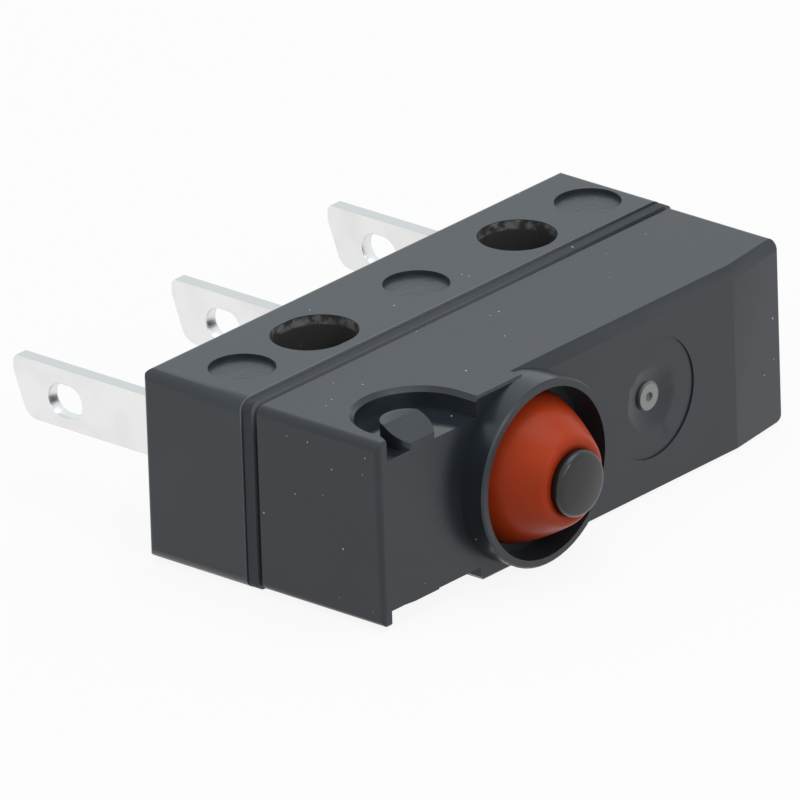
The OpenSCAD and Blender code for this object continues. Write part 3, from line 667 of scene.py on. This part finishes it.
def housing_material(name, color, finish, sizes):
    """Satin moulded plastic with grain, flow marks, dust, dull seams lightened with dust and painted light,
    hole mouths with scuffing and painted light, and a pale gate nub with painted shade in its pit.
    """
    material, tree, shader, place = start_material(name)
    axes = separate_axes(tree, place)
    plan = vector_node(tree, "MULTIPLY", place, NO_HEIGHT).outputs["Vector"]
    grain = use_group(tree, "Moulded grain", place)
    mottle = noise(tree, place, scale=2600.0, detail=3.0, roughness=0.6)
    specks = mask_from(tree, "Dust specks", place, {"Scale": 2200.0, "Share": 0.35, "Size": 0.09})
    nub, pit = gate_masks(tree, place, sizes)
    strip, seams = seam_masks(tree, place, sizes)
    walls, mouths = hole_masks(tree, plan, axes["Z"], sizes)
    # Dust and painted light in the seam's gaps, lifting the shade there
    dust_and_light_seams = math_node(tree, "MULTIPLY", seams, seam_dust_and_light(tree, axes, sizes))
    # Mottled scuffing and painted light on the upper band of the holes' walls
    scuffs_and_light = math_node(tree, "MULTIPLY", mouths, ramp_between(tree, mottle, low=0.4, high=0.65))

    tint = toned(tree, grain, color, darkest=0.88, lightest=1.12)
    # Painted over the toned colour: dust and painted light in the seam, the holes' lighter walls, scuffing
    # and painted light at their mouths, specks of dust, the pale gate nub, and painted shade in its pit
    for mask, over in (
            (dust_and_light_seams, finish.seam_dust_and_light_color), (walls, finish.hole_color), (scuffs_and_light, finish.mouth_scuff_and_light_color),
            (specks, finish.dust_color), (nub, finish.gate_color), (pit, shade(color, PAINTED_PIT_SHADE))):
        tint = mix_colors(tree, mask, tint, over)
    join(tree, tint, shader.inputs["Base Color"])

    recess = recess_mask(tree, place, plan, sizes)
    polished = math_node(tree, "MULTIPLY_ADD", recess, RECESS_POLISH, grain.outputs["Roughness"])
    dulled = math_node(tree, "MULTIPLY_ADD", strip, STRIP_DULLNESS, polished)
    join(tree, dulled, shader.inputs["Roughness"])

    fine = bump_from(tree, shader, grain.outputs["Height"], strength=0.3, depth=0.005 * MM)
    discs = mask_from(tree, "Level", place, {"Level": BASE_HIGH.z - sizes.disc_depth, "Reach": FLOOR_REACH})
    rough_floors = put(tree, "ShaderNodeBump", {
        "Height": math_node(tree, "MULTIPLY", mottle, discs), "Strength": 0.6, "Distance": 0.05 * MM})
    join(tree, rough_floors.outputs["Normal"], fine.inputs["Normal"])
    return material


def pin_material(name, color, dust):
    """Satin black plastic with grain and a few specks of dust."""
    material, tree, shader, place = start_material(name)
    grain = use_group(tree, "Moulded grain", place, {"Smoothest": 0.13})
    specks = mask_from(tree, "Dust specks", place, {"Share": 0.08})
    tint = toned(tree, grain, color, darkest=0.85, lightest=1.15)
    join(tree, mix_colors(tree, specks, tint, dust), shader.inputs["Base Color"])
    join(tree, grain.outputs["Roughness"], shader.inputs["Roughness"])
    bump_from(tree, shader, grain.outputs["Height"], strength=0.35, depth=0.004 * MM)
    return material


def rubber_material(name, color, dust):
    """Soft matte silicone with faint flow marks and a few pale specks."""
    material, tree, shader, place = start_material(name)
    grain = use_group(tree, "Moulded grain", place, {"Grain Scale": 12000.0, "Flow Scale": 500.0})
    specks = mask_from(tree, "Dust specks", place, {"Share": 0.05, "Scale": 1200.0})
    tint = toned(tree, grain, color, darkest=0.93, lightest=1.07)
    join(tree, mix_colors(tree, specks, tint, dust), shader.inputs["Base Color"])
    join(tree, grain.outputs["Roughness"], shader.inputs["Roughness"])
    bump_from(tree, shader, grain.outputs["Height"], strength=0.25, depth=0.004 * MM)
    shader.inputs["Specular IOR Level"].default_value = 0.14
    return material


def metal_material(name, color, stretch, stain_shade, line_depth, sheared=()):
    """Rolled or drawn metal with fine lines and stains, duller at the levels where it was sheared."""
    material, tree, shader, place = start_material(name)
    grain = use_group(tree, "Rolled grain", place, {"Stretch": stretch})
    tint = mix_colors(tree, grain.outputs["Stain"], color, shade(color, stain_shade))
    for level in sheared:
        edge = mask_from(tree, "Level", place, {"Level": level})
        tint = mix_colors(tree, edge, tint, shade(color, SHEARED_SHADE))
    join(tree, tint, shader.inputs["Base Color"])
    join(tree, grain.outputs["Roughness"], shader.inputs["Roughness"])
    bump_from(tree, shader, grain.outputs["Height"], strength=0.3, depth=line_depth)
    shader.inputs["Metallic"].default_value = 1.0
    return material


def resin_material(name, color):
    """Poured resin, glossy with a slow ripple."""
    material, tree, shader, place = start_material(name)
    grain = use_group(tree, "Moulded grain", place, {"Grain Scale": 900.0, "Flow Scale": 200.0})
    join(tree, toned(tree, grain, color, darkest=0.8, lightest=1.3), shader.inputs["Base Color"])
    bump_from(tree, shader, grain.outputs["Height"], strength=0.4, depth=0.03 * MM)
    shader.inputs["Roughness"].default_value = 0.22
    return material


# Piece building

def give_material(mesh, material):
    """Makes a material the only one of a mesh."""
    mesh.materials.clear()
    mesh.materials.append(material)


def place_piece(name, mesh, body, material, slot, *nodes):
    """Makes the mesh a piece that rides on a body, if one is named, and stands for the given solids."""
    piece = bpy.data.objects.new(name, mesh)
    bpy.context.scene.collection.objects.link(piece)
    give_material(mesh, material)
    if body:
        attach(piece, body)
    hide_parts(*nodes)
    return piece


def mesh_from(name, made):
    """Turns a bmesh into a mesh and frees it."""
    mesh = bpy.data.meshes.new(name)
    made.to_mesh(mesh)
    made.free()
    return mesh


def merged_copy(node):
    """A bmesh of a solid, with its loose triangles merged and its flat faces whole."""
    made = bmesh.new()
    made.from_mesh(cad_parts[node].data)
    bmesh.ops.remove_doubles(made, verts=made.verts, dist=MERGE_REACH)
    bmesh.ops.dissolve_limit(made, angle_limit=FLAT_ANGLE, verts=made.verts, edges=made.edges)
    return made


def crisp_solid(name, node, body, material, slot, broad_face):
    """Copy of a solid whose broad faces stay flat while its roundings are shaded smooth."""
    made = merged_copy(node)
    broad = {face for face in made.faces if face.calc_area() > broad_face * MM * MM}
    for edge in made.edges:
        limit = BROAD_EDGE_ANGLE if broad.issuperset(edge.link_faces) else EDGE_ANGLE
        edge.smooth = edge.calc_face_angle(math.pi) < limit
    for face in made.faces:
        face.smooth = True
    piece = place_piece(name, mesh_from(name, made), body, material, slot, node)
    weighted = piece.modifiers.new("Flat broad faces", "WEIGHTED_NORMAL")
    weighted.keep_sharp = True


def softened_solid(name, node, body, material, slot, softness):
    """Copy of a solid with its sharp edges softened."""
    mesh = mesh_from(name, merged_copy(node))
    mesh.shade_smooth()
    piece = place_piece(name, mesh, body, material, slot, node)
    bevel = piece.modifiers.new("Soft edges", "BEVEL")
    bevel.width = softness
    bevel.segments = SOFT_EDGE_STEPS
    bevel.limit_method = "ANGLE"
    bevel.angle_limit = SOFT_EDGE_ANGLE
    bevel.use_clamp_overlap = False
    bevel.miter_outer = "MITER_ARC"
    weighted = piece.modifiers.new("Flat broad faces", "WEIGHTED_NORMAL")
    weighted.weight = FLAT_FACE_WEIGHT


def turned_mesh(name, profile, steps):
    """Turns a closed profile of (radius, forward) points round the plunger's axis."""
    made = bmesh.new()
    corners = [made.verts.new((AXIS_X + radius, -forward, AXIS_Z)) for radius, forward in profile]
    lines = [made.edges.new((corners[i - 1], corners[i])) for i in range(len(corners))
             if not (profile[i - 1][0] == 0.0 and profile[i][0] == 0.0)]
    bmesh.ops.spin(
        made, geom=corners + lines, cent=(AXIS_X, 0.0, AXIS_Z), axis=(0.0, 1.0, 0.0),
        dvec=(0.0, 0.0, 0.0), angle=math.tau, steps=steps, use_merge=True)
    bmesh.ops.remove_doubles(made, verts=made.verts, dist=MERGE_REACH)
    bmesh.ops.recalc_face_normals(made, faces=made.faces)
    mesh = mesh_from(name, made)
    mesh.shade_smooth()
    return mesh


def arc(radius, start, stop):
    """Points of an arc of a circle as (across, up), at even angles."""
    angles = [start + (stop - start) * i / ROUND_STEPS for i in range(ROUND_STEPS + 1)]
    return [(radius * math.cos(angle), radius * math.sin(angle)) for angle in angles]


def curve(count, start, stop, bulge):
    """Points of a curve from start to stop as (radius, forward), drawn outwards at its middle."""
    pull = ((start[0] + stop[0]) / 2 + bulge, (start[1] + stop[1]) / 2)
    points = []
    for i in range(count + 1):
        t = i / count
        points.append(tuple((1 - t) ** 2 * first + 2 * t * (1 - t) * middle + t * t * last
                            for first, middle, last in zip(start, pull, stop)))
    return points


def boot_profile(sizes, foot_top):
    """Profile of the boot: its flange, its skirt and dome, the rounded lip, and the inside."""
    foot_radius = BOOT_HIGH.x - AXIS_X
    skirt_top = foot_top + sizes.boot_skirt
    wall, soft = sizes.boot_wall, sizes.boot_lip_round
    start, shoulder = (sizes.boot_radius, skirt_top), (sizes.boot_lip_radius, BOOT_LIP - soft)
    # The lip's arc starts at the lean that the dome ends with, so the two meet smoothly
    near, last = curve(DOME_STEPS, start, shoulder, sizes.boot_bulge)[-2:]
    lean = math.atan2(near[0] - last[0], last[1] - near[1])
    lip = [(shoulder[0] - soft + across, shoulder[1] + up) for across, up in arc(soft, lean, math.pi / 2)]
    outside = curve(DOME_STEPS, start, lip[0], sizes.boot_bulge)
    inside = curve(INNER_DOME_STEPS, (sizes.boot_lip_radius - wall, BOOT_LIP - wall),
                   (sizes.boot_radius - wall, skirt_top), sizes.boot_bulge)
    return [
        (sizes.boot_radius - wall, BOOT_FLOOR), (foot_radius, BOOT_FLOOR), (foot_radius, foot_top),
        (sizes.boot_radius, foot_top), *outside[:-1], *lip,
        (sizes.boot_bore_radius, BOOT_LIP), (sizes.boot_bore_radius, BOOT_LIP - wall), *inside]


def pin_profile(sizes):
    """Profile of the pin: its rounded nose, foot, shaft and neck, and the head with rim and crown."""
    nose_tip = -PIN_HIGH.y
    foot = nose_tip + sizes.foot_height
    foot_top = foot + sizes.foot_height
    foot_radius = PIN_HIGH.x - AXIS_X
    head = PIN_TOP - sizes.head_length
    neck = head - sizes.neck_length
    face = sizes.head_radius - sizes.head_edge
    face_edge = PIN_TOP - sizes.head_crown
    nose = []
    for i in range(NOSE_STEPS + 1):
        across = sizes.nose_radius * i / NOSE_STEPS
        nose.append((across, nose_tip + NOSE_BALL - math.sqrt(NOSE_BALL * NOSE_BALL - across * across)))
    # The rim's arc ends at the lean that the crown has at its edge
    lean = math.atan2(2 * sizes.head_crown, face)
    rim_foot = face_edge - sizes.head_edge * math.cos(lean)
    rim = [(face + across, rim_foot + up) for across, up in arc(sizes.head_edge, 0.0, math.pi / 2 - lean)]
    crown = []
    for i in reversed(range(CROWN_STEPS)):
        share = i / CROWN_STEPS
        crown.append((rim[-1][0] * share, face_edge + sizes.head_crown * (1.0 - share * share)))
    return [
        *nose, (sizes.nose_radius, foot), (foot_radius, foot), (foot_radius, foot_top),
        (sizes.shaft_radius, foot_top), (sizes.shaft_radius, neck), (sizes.neck_radius, neck),
        (sizes.neck_radius, head), (sizes.head_radius, head), *rim, *crown]


class MICROSWITCH_OT_housing(bpy.types.Operator):
    """Finish the base and the cover as dark moulded plastic"""

    bl_idname = "microswitch.housing"
    bl_label = "Housing"

    def execute(self, context):
        sizes, finish = context.scene.switch_sizes, context.scene.switch_finish
        base = housing_material("Base plastic", finish.base_color, finish, sizes)
        crisp_solid("base_moulding", "base", "housing", base, "housing", sizes.broad_face)
        cover = housing_material("Cover plastic", finish.cover_color, finish, sizes)
        crisp_solid("cover_moulding", "cover", "housing", cover, "housing", sizes.broad_face)
        return {"FINISHED"}


class MICROSWITCH_OT_boot(bpy.types.Operator):
    """Turn the rubber boot in place of its solid"""

    bl_idname = "microswitch.boot"
    bl_label = "Sealing Boot"

    def execute(self, context):
        sizes, finish = context.scene.switch_sizes, context.scene.switch_finish
        foot_top = BOOT_FLOOR + sizes.boot_foot_height
        mesh = turned_mesh("boot", boot_profile(sizes, foot_top), sizes.turn_steps)
        rubber = rubber_material("Boot rubber", finish.boot_color, finish.boot_dust_color)
        boot = place_piece("boot", mesh, None, rubber, "boot", "sealing_boot")
        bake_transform(boot)
        return {"FINISHED"}


class MICROSWITCH_OT_pin(bpy.types.Operator):
    """Turn the pin that is pressed"""

    bl_idname = "microswitch.pin"
    bl_label = "Plunger Pin"

    def execute(self, context):
        sizes, finish = context.scene.switch_sizes, context.scene.switch_finish
        mesh = turned_mesh("pin", pin_profile(sizes), sizes.turn_steps)
        plastic = pin_material("Pin plastic", finish.pin_color, finish.dust_color)
        place_piece("pin", mesh, "plunger", plastic, "pin", "plunger_pin")
        return {"FINISHED"}


class MICROSWITCH_OT_tabs(bpy.types.Operator):
    """Finish the three terminals as silvered strip"""

    bl_idname = "microswitch.tabs"
    bl_label = "Solder Tabs"

    def execute(self, context):
        sizes, finish = context.scene.switch_sizes, context.scene.switch_finish
        strip = metal_material("Silvered strip", finish.tab_color, ALONG_Y, stain_shade=0.93,
                               line_depth=0.002 * MM, sheared=(TAB_LOW.z, TAB_HIGH.z))
        for way in ("common", "normally_open", "normally_closed"):
            softened_solid(way + "_tab", way + "_terminal", "housing", strip, "tab", sizes.tab_softness)
        return {"FINISHED"}


class MICROSWITCH_OT_mechanism(bpy.types.Operator):
    """Finish the contacts, the contact arm, the lever and the snap spring"""

    bl_idname = "microswitch.mechanism"
    bl_label = "Snap Mechanism"

    def execute(self, context):
        finish = context.scene.switch_finish
        silver = metal_material(
            "Contact silver", finish.contact_color, NO_STRETCH, stain_shade=0.7, line_depth=0.002 * MM)
        bronze = metal_material(
            "Rolled bronze", finish.blade_color, ALONG_X, stain_shade=0.75, line_depth=0.003 * MM)
        steel = metal_material(
            "Drawn steel", finish.steel_color, ALONG_X, stain_shade=0.7, line_depth=0.003 * MM)
        for node, material in (
                ("normally_open_contact", silver), ("normally_closed_contact", silver),
                ("moving_contact", silver), ("contact_arm", bronze),
                ("actuating_lever", steel), ("snap_spring", steel)):
            give_material(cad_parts[node].data, material)
        return {"FINISHED"}


class MICROSWITCH_OT_resin(bpy.types.Operator):
    """Finish the resin round the tabs"""

    bl_idname = "microswitch.resin"
    bl_label = "Sealing Resin"

    def execute(self, context):
        resin = resin_material("Sealing resin", context.scene.switch_finish.resin_color)
        give_material(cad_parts["terminal_potting"].data, resin)
        return {"FINISHED"}


# Stage building

def soft_box(name, place, aim, size, power, color):
    """A square area lamp that points at a place on the switch."""
    lamp = bpy.data.lights.new(name, "AREA")
    lamp.shape = "SQUARE"
    lamp.size = size
    lamp.energy = power
    lamp.color = color
    box = bpy.data.objects.new(name, lamp)
    box.location = place
    box.rotation_euler = (aim - place).to_track_quat("-Z", "Y").to_euler()
    bpy.context.scene.collection.objects.link(box)


def floor_material(color, bounce):
    """Pale floor: near white to the camera but with the shadow kept, and clear from below."""
    material = bpy.data.materials.new("Pale floor")
    material.use_nodes = True
    tree = material.node_tree
    tree.nodes.clear()
    matte = put(tree, "ShaderNodeBsdfDiffuse", {"Color": (*color, 1.0)})
    thrown = put(tree, "ShaderNodeBsdfDiffuse", {"Color": (*bounce, 1.0)})
    glow = put(tree, "ShaderNodeEmission", {"Color": WHITE, "Strength": 1.0})
    clear = put(tree, "ShaderNodeBsdfTransparent")
    rays = put(tree, "ShaderNodeLightPath").outputs
    side = put(tree, "ShaderNodeNewGeometry").outputs
    seen = math_node(tree, "MAXIMUM", rays["Is Camera Ray"], rays["Is Glossy Ray"])
    seen = math_node(tree, "MAXIMUM", seen, rays["Is Transmission Ray"])
    pale = mix_shaders(tree, FLOOR_GLOW, matte, glow)
    shown = mix_shaders(tree, seen, thrown, pale)
    sided = mix_shaders(tree, side["Backfacing"], shown, clear)
    put(tree, "ShaderNodeOutputMaterial", {"Surface": sided.outputs[0]})
    return material


def white_world(ambient, sheen):
    """World that shows as white, lights the switch at the given strength and gives gloss its tint."""
    world = bpy.data.worlds.new("White studio")
    bpy.context.scene.world = world
    world.use_nodes = True
    tree = world.node_tree
    tree.nodes.clear()
    light = put(tree, "ShaderNodeBackground", {"Color": WHITE, "Strength": ambient})
    gloss = put(tree, "ShaderNodeBackground", {"Color": (*sheen, 1.0), "Strength": 1.0})
    shown = put(tree, "ShaderNodeBackground", {"Color": WHITE, "Strength": 1.0})
    rays = put(tree, "ShaderNodeLightPath").outputs
    tinted = mix_shaders(tree, rays["Is Glossy Ray"], light, gloss)
    seen = math_node(tree, "MAXIMUM", rays["Is Camera Ray"], rays["Is Transmission Ray"])
    mixed = mix_shaders(tree, seen, tinted, shown)
    put(tree, "ShaderNodeOutputWorld", {"Surface": mixed.outputs[0]})


def lay_floor(stage):
    """A flat floor just under the switch."""
    made = bmesh.new()
    bmesh.ops.create_grid(made, x_segments=1, y_segments=1, size=FLOOR_HALF)
    bmesh.ops.translate(made, verts=made.verts, vec=(0.0, 0.0, CAD_BOX[0].z - FLOOR_DROP))
    mesh = mesh_from("floor", made)
    give_material(mesh, floor_material(stage.floor_color, stage.bounce_color))
    floor = bpy.data.objects.new("floor", mesh)
    bpy.context.scene.collection.objects.link(floor)


def place_camera(stage, target):
    """The camera at the photograph's viewing angle."""
    back = Vector((math.sin(stage.azimuth) * math.cos(stage.elevation),
                   -math.cos(stage.azimuth) * math.cos(stage.elevation), math.sin(stage.elevation)))
    level = Vector((math.cos(stage.azimuth), math.sin(stage.azimuth), 0.0))
    tilted = back.cross(level)
    right = math.cos(stage.roll) * level + math.sin(stage.roll) * tilted
    up = math.cos(stage.roll) * tilted - math.sin(stage.roll) * level
    data = bpy.data.cameras.new("camera")
    data.lens = stage.lens
    data.clip_start = CLIP_START
    data.clip_end = CLIP_END
    camera = bpy.data.objects.new("camera", data)
    turn = Matrix((right, up, back)).transposed().to_4x4()
    camera.matrix_world = Matrix.Translation(target + back * stage.distance) @ turn
    bpy.context.scene.collection.objects.link(camera)
    bpy.context.scene.camera = camera


class MICROSWITCH_OT_stage(bpy.types.Operator):
    """Lay the floor, hang the soft boxes and place the camera"""

    bl_idname = "microswitch.stage"
    bl_label = "Stage"

    def execute(self, context):
        stage = context.scene.switch_stage
        target = Vector(stage.target)
        lay_floor(stage)
        for name, (offset, size, color) in SOFT_BOXES.items():
            power = getattr(stage, name + "_power")
            soft_box(name, target + Vector(offset), target, size, power, color)
        white_world(stage.ambient, stage.sheen_color)
        place_camera(stage, target)
        context.scene.view_settings.view_transform = "Standard"
        return {"FINISHED"}


class MICROSWITCH_PT_panel(bpy.types.Panel):
    """Lists the steps that dress the switch"""

    bl_label = "Micro Switch"
    bl_idname = "MICROSWITCH_PT_panel"
    bl_space_type = "VIEW_3D"
    bl_region_type = "UI"
    bl_category = "Micro Switch"

    def draw(self, context):
        column = self.layout.column()
        for step in STEPS:
            column.operator(step.bl_idname)
        for group in ("switch_sizes", "switch_finish", "switch_stage"):
            values = getattr(context.scene, group)
            for key in values.__annotations__:
                column.prop(values, key)


STEPS = (
    MICROSWITCH_OT_housing,
    MICROSWITCH_OT_boot,
    MICROSWITCH_OT_pin,
    MICROSWITCH_OT_tabs,
    MICROSWITCH_OT_mechanism,
    MICROSWITCH_OT_resin,
    MICROSWITCH_OT_stage,
)
CLASSES = (SwitchSizes, SwitchFinish, SwitchStage, *STEPS, MICROSWITCH_PT_panel)


def register():
    for kind in CLASSES:
        bpy.utils.register_class(kind)
    bpy.types.Scene.switch_sizes = PointerProperty(type=SwitchSizes)
    bpy.types.Scene.switch_finish = PointerProperty(type=SwitchFinish)
    bpy.types.Scene.switch_stage = PointerProperty(type=SwitchStage)


def unregister():
    del bpy.types.Scene.switch_stage
    del bpy.types.Scene.switch_finish
    del bpy.types.Scene.switch_sizes
    for kind in reversed(CLASSES):
        bpy.utils.unregister_class(kind)


def main():
    register()
    bpy.ops.microswitch.housing()
    bpy.ops.microswitch.boot()
    bpy.ops.microswitch.pin()
    bpy.ops.microswitch.tabs()
    bpy.ops.microswitch.mechanism()
    bpy.ops.microswitch.resin()
    bpy.ops.microswitch.stage()


if __name__ == "__main__":
    main()
